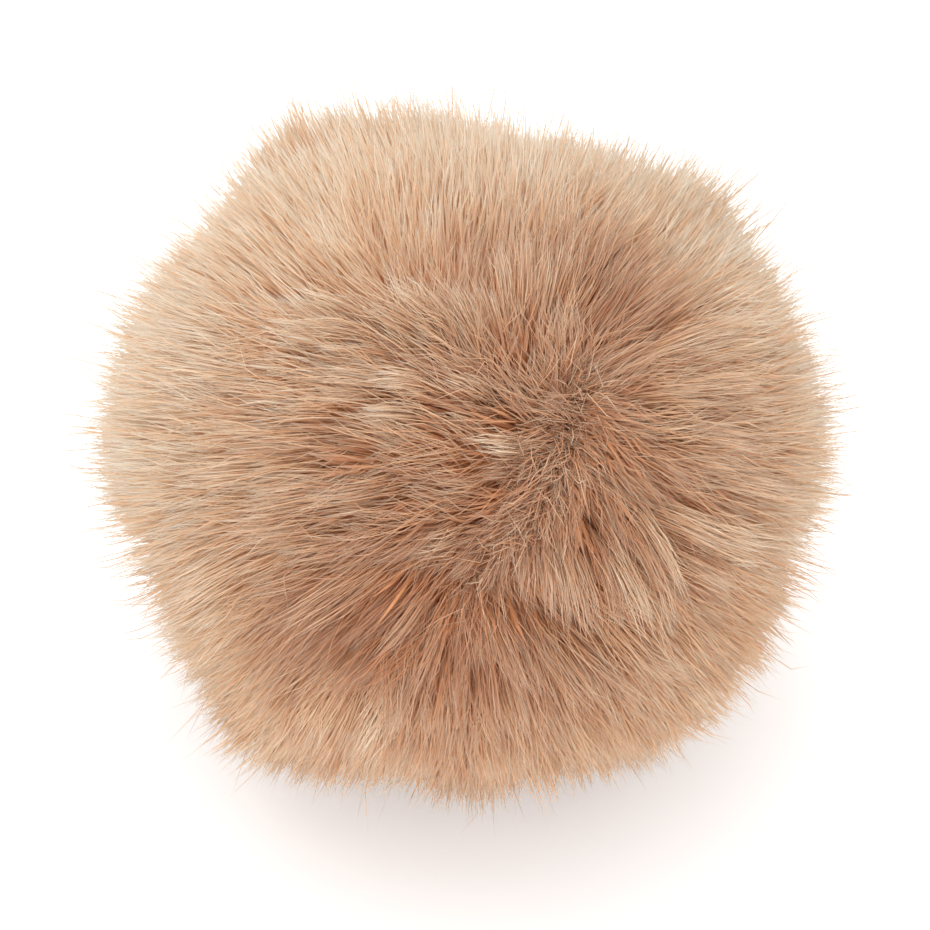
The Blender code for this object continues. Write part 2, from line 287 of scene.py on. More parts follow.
# Brush strokes: places as seen from the camera, the way the brush went as seen there (0 right, 90 up, 180
# left, 270 down), how flat it laid the pile, and how many degrees round the ball it tells.
STROKES = (
    # the fan above the parting
    {"across": -0.53, "up": 0.64, "sweep": 130, "flat": 0.55, "spread": 9},
    {"across": -0.32, "up": 0.74, "sweep": 105, "flat": 0.55, "spread": 9},
    {"across": -0.74, "up": 0.48, "sweep": 160, "flat": 0.55, "spread": 9},
    {"across": -0.06, "up": 0.64, "sweep": 85, "flat": 0.60, "spread": 9},
    {"across": 0.17, "up": 0.45, "sweep": 97, "flat": 0.70, "spread": 8},
    {"across": 0.38, "up": 0.51, "sweep": 85, "flat": 0.70, "spread": 8},
    {"across": 0.06, "up": 0.38, "sweep": 118, "flat": 0.75, "spread": 7},
    {"across": 0.58, "up": 0.56, "sweep": 60, "flat": 0.65, "spread": 8},
    {"across": 0.69, "up": 0.38, "sweep": 38, "flat": 0.65, "spread": 8},
    {"across": -0.42, "up": 0.48, "sweep": 125, "flat": 0.60, "spread": 5},
    {"across": -0.22, "up": 0.50, "sweep": 105, "flat": 0.60, "spread": 5},
    {"across": -0.42, "up": 0.35, "sweep": 173, "flat": 0.80, "spread": 5},
    {"across": -0.22, "up": 0.36, "sweep": 165, "flat": 0.85, "spread": 5},
    # close round the upper whorl
    {"across": 0.34, "up": 0.30, "sweep": 95, "flat": 0.80, "spread": 5},
    {"across": 0.22, "up": 0.26, "sweep": 130, "flat": 0.85, "spread": 5},
    {"across": 0.46, "up": 0.26, "sweep": 55, "flat": 0.80, "spread": 5},
    {"across": 0.18, "up": 0.12, "sweep": 174, "flat": 0.90, "spread": 5},
    {"across": 0.50, "up": 0.14, "sweep": 355, "flat": 0.85, "spread": 5},
    {"across": 0.44, "up": 0.02, "sweep": 315, "flat": 0.85, "spread": 4},
    # the right side
    {"across": 0.58, "up": 0.25, "sweep": 18, "flat": 0.80, "spread": 7},
    {"across": 0.79, "up": 0.22, "sweep": 5, "flat": 0.70, "spread": 9},
    {"across": 0.64, "up": 0.12, "sweep": 345, "flat": 0.85, "spread": 7},
    {"across": 0.58, "up": -0.01, "sweep": 320, "flat": 0.85, "spread": 7},
    {"across": 0.79, "up": -0.06, "sweep": 345, "flat": 0.70, "spread": 9},
    {"across": 0.64, "up": -0.25, "sweep": 315, "flat": 0.80, "spread": 8},
    {"across": 0.87, "up": -0.30, "sweep": 350, "flat": 0.60, "spread": 9},
    {"across": 0.74, "up": -0.45, "sweep": 335, "flat": 0.70, "spread": 9},
    # the tuft that hangs below the parting
    {"across": 0.40, "up": -0.08, "sweep": 288, "flat": 0.70, "spread": 5},
    {"across": 0.33, "up": -0.16, "sweep": 272, "flat": 0.70, "spread": 5},
    {"across": 0.33, "up": -0.30, "sweep": 265, "flat": 0.75, "spread": 6},
    {"across": 0.47, "up": -0.30, "sweep": 275, "flat": 0.80, "spread": 6},
    {"across": 0.53, "up": -0.43, "sweep": 290, "flat": 0.80, "spread": 7},
    {"across": 0.24, "up": -0.30, "sweep": 255, "flat": 0.70, "spread": 4},
    # the left side of the parting
    {"across": 0.22, "up": -0.02, "sweep": 185, "flat": 0.85, "spread": 4},
    {"across": 0.13, "up": -0.12, "sweep": 195, "flat": 0.85, "spread": 5},
    {"across": 0.02, "up": -0.25, "sweep": 182, "flat": 0.90, "spread": 5},
    # the pile that lies to the left
    {"across": 0.06, "up": 0.08, "sweep": 170, "flat": 0.95, "spread": 7},
    {"across": -0.12, "up": 0.02, "sweep": 165, "flat": 0.95, "spread": 8},
    {"across": -0.28, "up": 0.16, "sweep": 173, "flat": 0.90, "spread": 9},
    {"across": -0.53, "up": 0.12, "sweep": 180, "flat": 0.80, "spread": 9},
    {"across": -0.79, "up": 0.12, "sweep": 180, "flat": 0.60, "spread": 9},
    {"across": -0.26, "up": -0.20, "sweep": 180, "flat": 0.90, "spread": 7},
    {"across": -0.40, "up": -0.14, "sweep": 178, "flat": 0.90, "spread": 8},
    {"across": -0.66, "up": -0.19, "sweep": 184, "flat": 0.70, "spread": 9},
    {"across": -0.40, "up": 0.37, "sweep": 170, "flat": 0.75, "spread": 8},
    {"across": -0.10, "up": 0.28, "sweep": 157, "flat": 0.90, "spread": 7},
    {"across": 0.08, "up": 0.24, "sweep": 140, "flat": 0.85, "spread": 6},
    # the fan of the lower whorl
    {"across": -0.10, "up": -0.42, "sweep": 203, "flat": 0.95, "spread": 5},
    {"across": -0.04, "up": -0.52, "sweep": 232, "flat": 0.90, "spread": 4},
    {"across": 0.05, "up": -0.54, "sweep": 262, "flat": 0.90, "spread": 4},
    {"across": 0.15, "up": -0.50, "sweep": 302, "flat": 0.90, "spread": 5},
    {"across": -0.30, "up": -0.50, "sweep": 211, "flat": 0.90, "spread": 7},
    {"across": -0.53, "up": -0.50, "sweep": 207, "flat": 0.80, "spread": 9},
    {"across": -0.66, "up": -0.40, "sweep": 203, "flat": 0.75, "spread": 9},
    {"across": -0.40, "up": -0.71, "sweep": 229, "flat": 0.80, "spread": 9},
    {"across": -0.17, "up": -0.77, "sweep": 246, "flat": 0.80, "spread": 9},
    {"across": 0.04, "up": -0.77, "sweep": 267, "flat": 0.80, "spread": 9},
    {"across": 0.27, "up": -0.77, "sweep": 294, "flat": 0.80, "spread": 9},
    {"across": 0.27, "up": -0.61, "sweep": 300, "flat": 0.85, "spread": 7},
    {"across": 0.51, "up": -0.74, "sweep": 319, "flat": 0.75, "spread": 9},
    {"across": 0.64, "up": -0.66, "sweep": 330, "flat": 0.70, "spread": 9},
    {"across": 0.43, "up": -0.60, "sweep": 305, "flat": 0.80, "spread": 7},
)

# Away from the strokes the pile is brushed gently away from the parting. Round the parting, over
# COMBED_SPREAD, it is combed into tufts. The whorls take away MOST_CALM of the brushing at most.
PARTING = {"across": 0.24, "up": -0.12}
LOOSE_WEIGHT = 0.002
LOOSE_FLAT = 0.45
MOST_CALM = 0.9
COMBED_SPREAD = math.radians(51)

# How far a fully flat strand tips over, at its root and at its tip, how much of its way it keeps from one
# step of growth to the next, how flat it lies at least, its length in metres, and its steps.
ROOT_TIP_OVER = math.radians(12)
END_TIP_OVER = math.radians(86)
KEEPS_ITS_WAY = 0.6
LEAST_FLAT = 0.25
PILE_LENGTH = 0.0150
GROWTH_STEPS = 8
STEP_SHARES = np.linspace(0, 1, GROWTH_STEPS + 1)[None, :, None]

# Waves over the ball make the pile uneven, and each strand adds its own: bumps are shares of the reach,
# twists and curls are radians, and lifts are added to how flat it lies. It is messier at the parting and at
# the whorls, and the waves are a sum of plane ones, over WAVE_SCALE x their usual size.
PLANE_WAVES = 24
WAVE_SCALE = 1.5
BUMPS = ({"size": 0.018, "wavelength": 0.35}, {"size": 0.014, "wavelength": 0.13})
TWISTS = ({"size": 0.16, "wavelength": 0.5},)
LIFTS = ({"size": 0.06, "wavelength": 0.3},)
OWN_BUMP = 0.014
OWN_TWIST = 0.20
OWN_LIFT = 0.08
OWN_CURL = 0.16
MESSY = {"all over": 0.6, "parting": 0.4, "whorls": 2.5}

# Pile that is lower than BEND, in metres, is bent along the floor, and pushed out by a share of the height
# that it gains.
BEND = 0.006
PUSHED_OUT = 0.55

# Great locks, and how they draw tufts in: all over, with more at the parting, and more the nearer to the tip.
GREAT_LOCKS = 420
GREAT_LOCK_JITTER = 0.7 / math.sqrt(GREAT_LOCKS)
GREAT_LOCK_MESS = 1.4
GREAT_LOCK_PULL = 0.45
LEAST_PULL = 0.5
PULLED_LATE = 1.3
SHORTEST_GREAT_LOCK = 0.78

# The tufts in the great locks, how wide one spreads in metres and how much that varies, and its strands. They
# are made in bands, a piece each.
TUFTS = 2150
TUFT_JITTER = 0.012
SHORTEST_TUFT = 0.92
TUFT_SPREAD = 0.00135
TUFT_SPREADS_VARY = (0.8, 1.2)
STRANDS_A_TUFT = 30
BANDS = 4
GOLDEN_ANGLE = math.pi * (3 - math.sqrt(5))

# How a strand lies in its tuft, in the tuft's spreads: how far off it may be, how much that fans out, and how
# much tips gather in. Straying and gathering come late, by share ^ LATE, and a strand waves as it goes.
FARTHEST_OFF = 2
FANS_OUT = 0.4
GATHERED = {"all over": 0.15, "parting": 0.95}
LEAST_GATHERED = 0.5
LATE = 1.5
FARTHEST_STRAY = 2.5
WAVES_A_STRAND = 1.6
WAVE_SHARE = 0.5

# The kinds of strand: how far one strays at its tip, in metres, how much of the tuft's width its tips gather
# in, its shortest length as a share of the tuft's, how near it comes to a lap, and its rings, as shares of
# its length with the radius at each. It ends in a point.
TUFTED = {"stray": 0.0010, "gather": 0.7, "shortest": 0.60, "lapped": 1.0,
          "rings": ((0.15, 0.00007), (0.66, 0.00008))}
LAID = {"stray": 0.0006, "gather": 0.4, "shortest": 0.62, "lapped": 2.0,
        "rings": ((0.0, 0.00007), (0.50, 0.00008), (0.78, 0.00007))}
SHORT = {"stray": 0.0005, "gather": 0.0, "shortest": 0.70, "lapped": 0.85,
         "rings": ((0.0, 0.00022), (0.60, 0.00026))}
TANGLED = {"stray": 0.0012, "gather": 0.0, "shortest": 0.70, "lapped": 2.0,
           "rings": ((0.0, 0.00007), (0.45, 0.00007), (0.78, 0.00006))}
FLYING = {"stray": 0.0012, "gather": 0.0, "shortest": 0.88, "lapped": 1.0,
          "rings": ((0.0, 0.00006), (0.70, 0.00006))}

# Strands in no tuft: how many, how messy, and how high they reach and how long they are as shares of the
# pile's height and length. Flying pile is short where the height of its unit direction is under LOW_DOWN.
SHORT_PILE = {"all over": 12000, "whorls": 2000, "strewn": 1.6, "jitter": 0.01, "mess": 0.7, "high": 0.85,
              "long": 0.75}
TANGLED_PILE = {"whorls": 2000, "strewn": 1.0, "mess": 1.6, "high": 0.97, "long": 0.7}
FLYING_PILE = {"all over": 7500, "jitter": 0.02, "mess": 1.5, "high": 1.04, "high low down": 0.88}
LOW_DOWN = -0.35

# A needle's sides, what keeps its rings' first axis off its own way, and its width and margin in the map.
SIDES = 3
OFF_ITS_WAY = 0.31
MAP_WIDTH = 0.004
MAP_MARGIN = 0.02
# How softly a strand is shaded: the weight of the direction out of the ball beside the strand's own normal.
SOFTNESS = 1.0

# Painted shade: places where the pile's colour is painted deeper to stand for the light and shade that fall
# there, and paler where the value is below 0, with sizes in degrees and how much deeper its shade is. Below
# LOW_PILE, the height of a unit direction, painted shade deepens it towards the floor by the factor given
# after it x the drop.
LOW_PILE = 0.1
PAINTED_SHADE_LOW_DOWN = 0.35
PAINTED_SHADE_PLACES = (
    {"across": -0.06, "up": -0.56, "size": 18, "painted_shade": 0.25},
    {"across": 0.05, "up": -0.85, "size": 12, "painted_shade": 0.06},
    {"across": -0.46, "up": -0.56, "size": 14, "painted_shade": 0.22},
    {"across": 0.50, "up": 0.58, "size": 14, "painted_shade": 0.24},
    {"across": -0.18, "up": 0.12, "size": 8, "painted_shade": -0.10},
    {"across": 0.00, "up": 0.62, "size": 12, "painted_shade": 0.08},
    {"across": 0.32, "up": -0.38, "size": 7, "painted_shade": 0.13},
    {"across": 0.34, "up": 0.12, "size": 7, "painted_shade": 0.10},
)

# Colours up a strand from its root to its tip: the strands of the rim, painted pale for the light that shines
# through their tips there, the pale and the deep strands, and the soft underfur. The warm roots are a painted
# glow, for light that goes through thin fibre; from there up to the pale tips the colours are partly the
# fibre's own and partly painted light and shade.
# The rim's strands: painted pale for the light that shines through their tips at the rim.
RIM_LIT_STRAND = (
    {"at": 0.00, "colour": (0.92, 0.66, 0.45)},
    {"at": 0.55, "colour": (0.93, 0.76, 0.58)},
    {"at": 0.80, "colour": (0.96, 0.86, 0.72)},
    {"at": 1.00, "colour": (1.00, 0.98, 0.93)},
)
PALE_STRAND = (
    {"at": 0.00, "colour": (0.89, 0.50, 0.26)},
    {"at": 0.55, "colour": (0.83, 0.54, 0.34)},
    {"at": 0.80, "colour": (0.85, 0.64, 0.45)},
    {"at": 1.00, "colour": (0.94, 0.82, 0.67)},
)
DEEP_STRAND = (
    {"at": 0.00, "colour": (0.75, 0.29, 0.12)},
    {"at": 0.55, "colour": (0.53, 0.24, 0.13)},
    {"at": 0.80, "colour": (0.49, 0.26, 0.16)},
    {"at": 1.00, "colour": (0.60, 0.39, 0.28)},
)
# The underfur's bright warm roots are a painted glow of light deep in the pile.
UNDERFUR = (
    {"at": 0.00, "colour": (0.93, 0.41, 0.16)},
    {"at": 0.50, "colour": (0.77, 0.35, 0.16)},
    {"at": 1.00, "colour": (0.63, 0.34, 0.20)},
)

# Shades run from 0 deep to 1 pale: up to UNDERFUR_SHADES they go from the underfur to the deep strands, from
# there to PALE_SHADES on to the pale ones, and then to the strands of the rim, painted pale for the light
# through their tips. No strand is paler than PALEST, and no short one deeper than DEEPEST_SHORT.
UNDERFUR_SHADES = 0.3
PALE_SHADES = 0.8
PALEST = 0.97
DEEPEST_SHORT = 0.02
# The shade at the rim, how much it falls at the parting and at the whorls, its waves over the ball, and how
# much it varies at random from tuft to tuft and from strand to strand. Pale at the rim and deeper at the
# parting and the whorls is painted light and shade: light through the tips at the rim, and the shade deep in
# the pile that one looks into at the parting. Short and flying strands are painted the same way. Laid locks
# are shaded down all over, and again by painted shade where the pile is painted deeper. Tangled strands have
# any shade between two.
TUFT_SHADE = {"rim": 0.98, "parting": 0.50, "whorls": 0.15, "tufts": 0.06, "strands": 0.05}
TUFT_SHADE_WAVES = ({"size": 0.06, "wavelength": 0.25}, {"size": 0.07, "wavelength": 0.11})
SHORT_SHADE = {"rim": 0.88, "parting": 0.80, "strands": 0.05}
FLYING_SHADE = {"rim": 0.92, "parting": 0.50, "strands": 0.10}
LAID_SHADE = {"down": 0.12, "painted_shade": 1.2, "strands": 0.10}
TANGLED_SHADES = (0.2, 0.75)

# The backing: its grid round and from pole to pole, its gathers and how deep they are, and its cloth's grain
# and tones.
TURNS = 96
TILTS = 48
GATHERS = 24
GATHER_DEPTH = 0.012
CLOTH_GRAIN = 900
CLOTH_TONES = (
    {"at": 0.3, "colour": (0.75, 0.33, 0.14)},
    {"at": 0.7, "colour": (0.85, 0.42, 0.20)},
)

# The studio.
SKY_STRENGTH = 1.08
LIGHTS = (
    {"name": "overhead", "place": (-0.18, 0.12, 0.9), "power": 2.5, "size": 0.9},
    {"name": "front_left", "place": (-0.5, -0.7, 0.5), "power": 1.1, "size": 0.8},
)
FLOOR_COLOUR = (0.82, 0.80, 0.79, 1)
FLOOR_GLOW = 0.34


def unit(vectors):
    """Each vector divided by its length."""
    return vectors / np.maximum(np.linalg.norm(vectors, axis=-1, keepdims=True), 1e-12)


def toward(azimuth, elevation):
    """The unit direction at an azimuth from the front and an elevation, in degrees."""
    azimuth, elevation = math.radians(azimuth), math.radians(elevation)
    level = math.cos(elevation)
    return np.array((math.sin(azimuth) * level, -math.cos(azimuth) * level, math.sin(elevation)))


def seen_at(columns, rows):
    """The unit direction from the ball's middle to what is seen at a pixel: where the line of sight meets a
    ball of SIGHT_RADIUS, or where it passes nearest to the middle if it misses."""
    aside = np.asarray(columns, float)[..., None] - FRAME_PIXELS / 2
    above = FRAME_PIXELS / 2 - np.asarray(rows, float)[..., None]
    ways = unit(TO_THE_RIGHT * aside + UP_THE_VIEW * above - TO_THE_EYE * FOCAL_PIXELS)
    start = EYE - MIDDLE
    nearest = -(ways @ start)
    back = np.sqrt(np.maximum(SIGHT_RADIUS**2 - start.dot(start) + nearest**2, 0))
    return unit(start + ways * (nearest - back)[..., None])


def as_seen(across, up):
    """The direction of a place given in shares of the ball's half width, across and up from its middle."""
    column = BALL_COLUMN + BALL_HALF_WIDTH * np.asarray(across)
    row = BALL_ROW - BALL_HALF_WIDTH * np.asarray(up)
    return seen_at(column, row)


def in_view(points):
    """The pixels, column and row, at which points are seen: the focal length x the offset / the depth."""
    apart = points - EYE
    depth = -(apart @ TO_THE_EYE)
    columns = FRAME_PIXELS / 2 + FOCAL_PIXELS * (apart @ TO_THE_RIGHT) / depth
    rows = FRAME_PIXELS / 2 - FOCAL_PIXELS * (apart @ UP_THE_VIEW) / depth
    return columns, rows


def place_of(row):
    """The direction of the place in a table's row."""
    return as_seen(row["across"], row["up"])


def listed(rows, key):
    """A table's entries under a key, as an array."""
    return np.array([row[key] for row in rows])


def swept(stroke):
    """A stroke's direction along the ball: from its place to the place a short way on along its sweep."""
    across, up, sweep = stroke["across"], stroke["up"], math.radians(stroke["sweep"])
    place, step = as_seen(across, up), 0.01
    along = as_seen(across + step * math.cos(sweep), up + step * math.sin(sweep)) - place
    return unit(along - place * along.dot(place))


def closeness(directions, place, spread):
    """A bell over the arc to a place: exp(-(1 - cos arc) / (1 - cos spread))."""
    return np.exp((directions @ place - 1) / (1 - math.cos(spread)))


def evenly_round(count):
    """Directions spread evenly: equal steps of height, each turned by the golden angle."""
    step = np.arange(count) + 0.5
    height = 1 - 2 * step / count
    level = np.sqrt(1 - height**2)
    turn = step * GOLDEN_ANGLE
    return np.stack((level * np.cos(turn), level * np.sin(turn), height), axis=1)


def ellipsoid_reach(directions, half):
    """How far an ellipsoid's surface lies out: 1 / length of (direction / half axes)."""
    return 1 / np.linalg.norm(directions / half, axis=-1)


def pile_reach(directions):
    """How far standing pile reaches: an ellipsoid, lower above than below, with its tufts and hollows."""
    above = ellipsoid_reach(directions, np.array((REACH_HALF_WIDTH, REACH_HALF_DEPTH, REACH_RISE)))
    below = ellipsoid_reach(directions, np.array((REACH_HALF_WIDTH, REACH_HALF_DEPTH, REACH_DROP)))
    reach = np.where(directions[..., 2] > 0, above, below)
    for swelling in SWELLINGS:
        place = toward(swelling["azimuth"], swelling["elevation"])
        bell = closeness(directions, place, math.radians(swelling["spread"]) / math.sqrt(2))
        reach = reach * (1 + swelling["share"] * bell)
    return reach


def bells(directions, rows, key):
    """The sum of a table's rows at each direction: row[key] x a bell over the arc to the row's place."""
    total = np.zeros(len(directions))
    for row in rows:
        total += row[key] * closeness(directions, place_of(row), math.radians(row["size"]))
    return total


STROKE_PLACES = np.array([place_of(stroke) for stroke in STROKES])
STROKE_SWEEPS = np.array([swept(stroke) * stroke["flat"] for stroke in STROKES])
STROKE_NARROWNESS = 1 / (1 - np.cos(np.radians(listed(STROKES, "spread"))))


def brushed(directions):
    """The brushing at each direction, a tangent as long as the pile is flat: the mean of the strokes, each
    weighed by a bell over the arc to it, and of a gentle stroke away from the parting. The pile stands up at
    the whorls."""
    weights = np.exp((directions @ STROKE_PLACES.T - 1) * STROKE_NARROWNESS)
    parting = place_of(PARTING)
    away = directions * (directions @ parting)[:, None] - parting
    loose = unit(away) * LOOSE_FLAT * np.minimum(1, np.linalg.norm(away, axis=1))[:, None]
    total = weights @ STROKE_SWEEPS + loose * LOOSE_WEIGHT
    mean = total / (weights.sum(1) + LOOSE_WEIGHT)[:, None]
    mean *= (1 - np.minimum(bells(directions, WHORLS, "calm"), MOST_CALM))[:, None]
    return mean - directions * (mean * directions).sum(1)[:, None]


def turned(tangents, outward, angles):
    """Tangents turned about the outward direction: t cos a + (out x t) sin a."""
    return tangents * np.cos(angles)[:, None] + np.cross(outward, tangents) * np.sin(angles)[:, None]


def grown(tips, reach, length, twists, lifts, curls):
    """Paths of pile, (strand, step, xyz), worked out from the tip back to the root. Each step back goes
    against outward x cos tip + brushing x sin tip, where tip falls from end to root, with how flat the
    brushing is there and with the strand's own curl."""
    here = MIDDLE + tips * reach[:, None]
    sweep = turned(brushed(tips), tips, twists)
    path = [here]
    for step in range(GROWTH_STEPS):
        outward = unit(here - MIDDLE)
        local = turned(brushed(outward), outward, twists)
        sweep = sweep * KEEPS_ITS_WAY + local * (1 - KEEPS_ITS_WAY)
        sweep -= outward * (sweep * outward).sum(1)[:, None]
        flat = np.clip(np.linalg.norm(sweep, axis=1) + lifts, LEAST_FLAT, 1)
        share = 1 - (step + 0.5) / GROWTH_STEPS
        tip = flat * (ROOT_TIP_OVER + (END_TIP_OVER - ROOT_TIP_OVER) * share) + curls * share**2
        way = outward * np.cos(tip)[:, None] + unit(sweep) * np.sin(tip)[:, None]
        here = here - way * (length / GROWTH_STEPS)
        path.append(here)
    return np.stack(path[::-1], axis=1)


def waves(directions, dice, wavelength):
    """Smooth unevenness over the ball, of about -1 to 1: a sum of plane waves in random directions, over
    WAVE_SCALE x its usual size."""
    ways = unit(dice.normal(size=(PLANE_WAVES, 3))) * (2 * math.pi / wavelength)
    phases = dice.uniform(0, 2 * math.pi, PLANE_WAVES)
    return np.sin(directions @ ways.T + phases).sum(1) * math.sqrt(2 / PLANE_WAVES) / WAVE_SCALE


def wavy(directions, dice, rows):
    """The sum of the waves in a table's rows, each x its size."""
    return sum(row["size"] * waves(directions, dice, row["wavelength"]) for row in rows)


def jittered(directions, dice, arc):
    """Directions moved at random by about an arc."""
    return unit(directions + dice.normal(size=directions.shape) * arc)


def combed(directions):
    """How far the pile is combed into tufts: 1 at the parting, less round the ball."""
    return closeness(directions, place_of(PARTING), COMBED_SPREAD)


def pile_paths(tips, dice, mess, height, length):
    """Paths of pile that end at directions from the middle, at a share of the pile's height over the backing,
    with uneven heights, twists, lifts and curls."""
    count = len(tips)
    messy = mess * (MESSY["all over"] + MESSY["parting"] * combed(tips)
                    + MESSY["whorls"] * bells(tips, WHORLS, "calm"))
    low = ellipsoid_reach(tips, BACKING_HALF)
    bumps = wavy(tips, dice, BUMPS) + mess * dice.normal(0, OWN_BUMP, count)
    uneven = 1 + bells(tips, UNEVEN_PILE, "higher") + bumps
    reach = low + (pile_reach(tips) * uneven - low) * height
    twists = wavy(tips, dice, TWISTS) + messy * dice.normal(0, OWN_TWIST, count)
    lifts = wavy(tips, dice, LIFTS) + mess * dice.normal(0, OWN_LIFT, count)
    curls = mess * dice.normal(0, OWN_CURL, count)
    return grown(tips, reach, length, twists, lifts, curls)


def laid_on_the_floor(points):
    """Pile that would reach below the floor is bent along it: heights under BEND become
    BEND x exp((height - BEND) / BEND), which eases them towards 0, and PUSHED_OUT x what they gain pushes
    them out from the ball's upright axis."""
    height = points[..., 2]
    eased = np.where(height < BEND, BEND * np.exp((np.minimum(height, BEND) - BEND) / BEND), height)
    level = points * np.array((1.0, 1.0, 0.0))
    pushed = points + unit(level) * (PUSHED_OUT * (eased - height))[..., None]
    pushed[..., 2] = eased
    return pushed


def sampled(paths, shares):
    """Points on each path at shares of its length, by straight steps between its points."""
    at = np.clip(shares, 0, 1) * (paths.shape[1] - 1)
    low = np.minimum(at.astype(int), paths.shape[1] - 2)
    part = (at - low)[..., None]
    rows = np.arange(len(paths))[:, None]
    return paths[rows, low] * (1 - part) + paths[rows, low + 1] * part


def drawn_to_great_locks(tips, paths, dice):
    """Each path is drawn towards the path of its nearest great lock, by GREAT_LOCK_PULL x (LEAST_PULL + how
    far it is combed) x share ^ PULLED_LATE. Also gives the share of its length at which that lock ends."""
    lock_tips = jittered(evenly_round(GREAT_LOCKS), dice, GREAT_LOCK_JITTER)
    locks = pile_paths(lock_tips, dice, GREAT_LOCK_MESS, 1.0, PILE_LENGTH)
    nearest = np.argmax(tips @ lock_tips.T, axis=1)
    pull = GREAT_LOCK_PULL * (LEAST_PULL + combed(tips))
    drawn = pull[:, None, None] * STEP_SHARES**PULLED_LATE
    ends = dice.uniform(SHORTEST_GREAT_LOCK, 1.0, GREAT_LOCKS)
    return paths + (locks[nearest] - paths) * drawn, ends[nearest]


def lap_ends(paths):
    """The share of its length at which each path meets a lap, or NO_LAP. It meets the lap where it steps from
    the lap's left side to its right in the view; the share is found by straight steps."""
    columns, rows = in_view(paths)
    in_front = ((paths - MIDDLE) @ TO_THE_EYE)[:, :-1] > 0
    ends = np.full(len(paths), NO_LAP)
    for lap in LAPS:
        (column, row), (to_column, to_row) = lap["from"], lap["to"]
        aside, down = to_column - column, to_row - row
        side = down * (columns - column) - aside * (rows - row)
        along = (aside * (columns - column) + down * (rows - row)) / (aside**2 + down**2)
        meets = in_front & (side[:, :-1] > 0) & (side[:, 1:] <= 0) & (along[:, :-1] > 0) & (along[:, :-1] < 1)
        step = np.argmax(meets, axis=1)[:, None]
        before = np.take_along_axis(side, step, 1)[:, 0]
        after = np.take_along_axis(side, step + 1, 1)[:, 0]
        share = (step[:, 0] + before / np.maximum(before - after, 1e-9)) / GROWTH_STEPS
        ends = np.where(meets.any(1) & (share > lap["passes"]), np.minimum(ends, share), ends)
    return ends


def tuft_paths(dice):
    """The tufts' paths, and the share of its path at which each ends."""
    tips = jittered(evenly_round(TUFTS), dice, TUFT_JITTER)
    paths = pile_paths(tips, dice, 1.0, 1.0, PILE_LENGTH)
    paths, lock_ends = drawn_to_great_locks(tips, paths, dice)
    return paths, lock_ends * dice.uniform(SHORTEST_TUFT, 1.0, len(tips))


def laid_lock_paths():
    """Paths of the listed laid locks. Seen from above, one goes from its first place to its last by share ^
    LAID_LOCK_RUN, and it rises from the backing to its height by 1 - (1 - share) ^ LAID_LOCK_RISE."""
    first = seen_at(*listed(LAID_LOCKS, "from").T)
    last = seen_at(*listed(LAID_LOCKS, "to").T)
    run = STEP_SHARES**LAID_LOCK_RUN
    directions = unit(first[:, None] * (1 - run) + last[:, None] * run)
    low = ellipsoid_reach(directions, BACKING_HALF)[..., None]
    top = (pile_reach(directions) * listed(LAID_LOCKS, "high")[:, None])[..., None]
    return MIDDLE + directions * (low + (top - low) * (1 - (1 - STEP_SHARES) ** LAID_LOCK_RISE))


def strewn_on_whorls(count, wide, dice):
    """Tips strewn round the whorls and the parting, at random arcs of about wide x a whorl's size."""
    places = np.array([place_of(whorl) for whorl in WHORLS])
    sizes = np.radians(listed(WHORLS, "size"))
    pick = np.arange(count) % len(WHORLS)
    return unit(places[pick] + dice.normal(size=(count, 3)) * sizes[pick, None] * wide)


def strand_centres(paths, ends, strands, spreads, kind, dice):
    """Centres of each strand's rings and its tip, and which path it belongs to. A strand keeps its own offset
    from its tuft's path, as wide as the tuft spreads: the offset fans out with the ball and is gathered in
    towards the tip, the more the nearer to the parting. It strays and waves by itself besides, and most end
    at a lap that they meet."""
    count = len(paths) * strands
    owner = np.repeat(np.arange(len(paths)), strands)
    outward = unit(paths[owner, 0] - MIDDLE)
    offset = np.clip(dice.normal(size=(count, 3)), -FARTHEST_OFF, FARTHEST_OFF) * spreads[owner, None]
    offset -= outward * (offset * outward).sum(1)[:, None]
    gather = kind["gather"] * dice.uniform(LEAST_GATHERED, 1.0, len(paths))
    gather *= GATHERED["all over"] + GATHERED["parting"] * combed(unit(paths[:, -1] - MIDDLE))
    wide = (1 + FANS_OUT * STEP_SHARES) * (1 - gather[owner, None, None] * STEP_SHARES**LATE)
    wild = np.minimum(dice.exponential(kind["stray"], count), FARTHEST_STRAY * kind["stray"])[:, None, None]
    ways = np.clip(dice.normal(size=(2, count, 1, 3)), -FARTHEST_OFF, FARTHEST_OFF)
    turns = WAVES_A_STRAND * STEP_SHARES + dice.uniform(0, 1, (count, 1, 1))
    wave = WAVE_SHARE * STEP_SHARES * np.sin(2 * math.pi * turns)
    own = paths[owner] + offset[:, None] * wide + wild * (ways[0] * STEP_SHARES**LATE + ways[1] * wave)
    full = ends[owner] * dice.uniform(kind["shortest"], 1.0, count)
    lapped = kind["lapped"] * lap_ends(own) + dice.normal(0, LAP_RAGGED, count)
    length = np.where(dice.uniform(size=count) < OVER_A_LAP, full, np.minimum(full, lapped))
    stations = np.array([share for share, radius in kind["rings"]] + [1.0])
    return laid_on_the_floor(sampled(own, stations[None, :] * length[:, None])), owner


def single_strands(paths, kind, dice):
    """Centres of strands that lie in no tuft, one to a path."""
    return strand_centres(paths, np.ones(len(paths)), 1, np.zeros(len(paths)), kind, dice)[0]


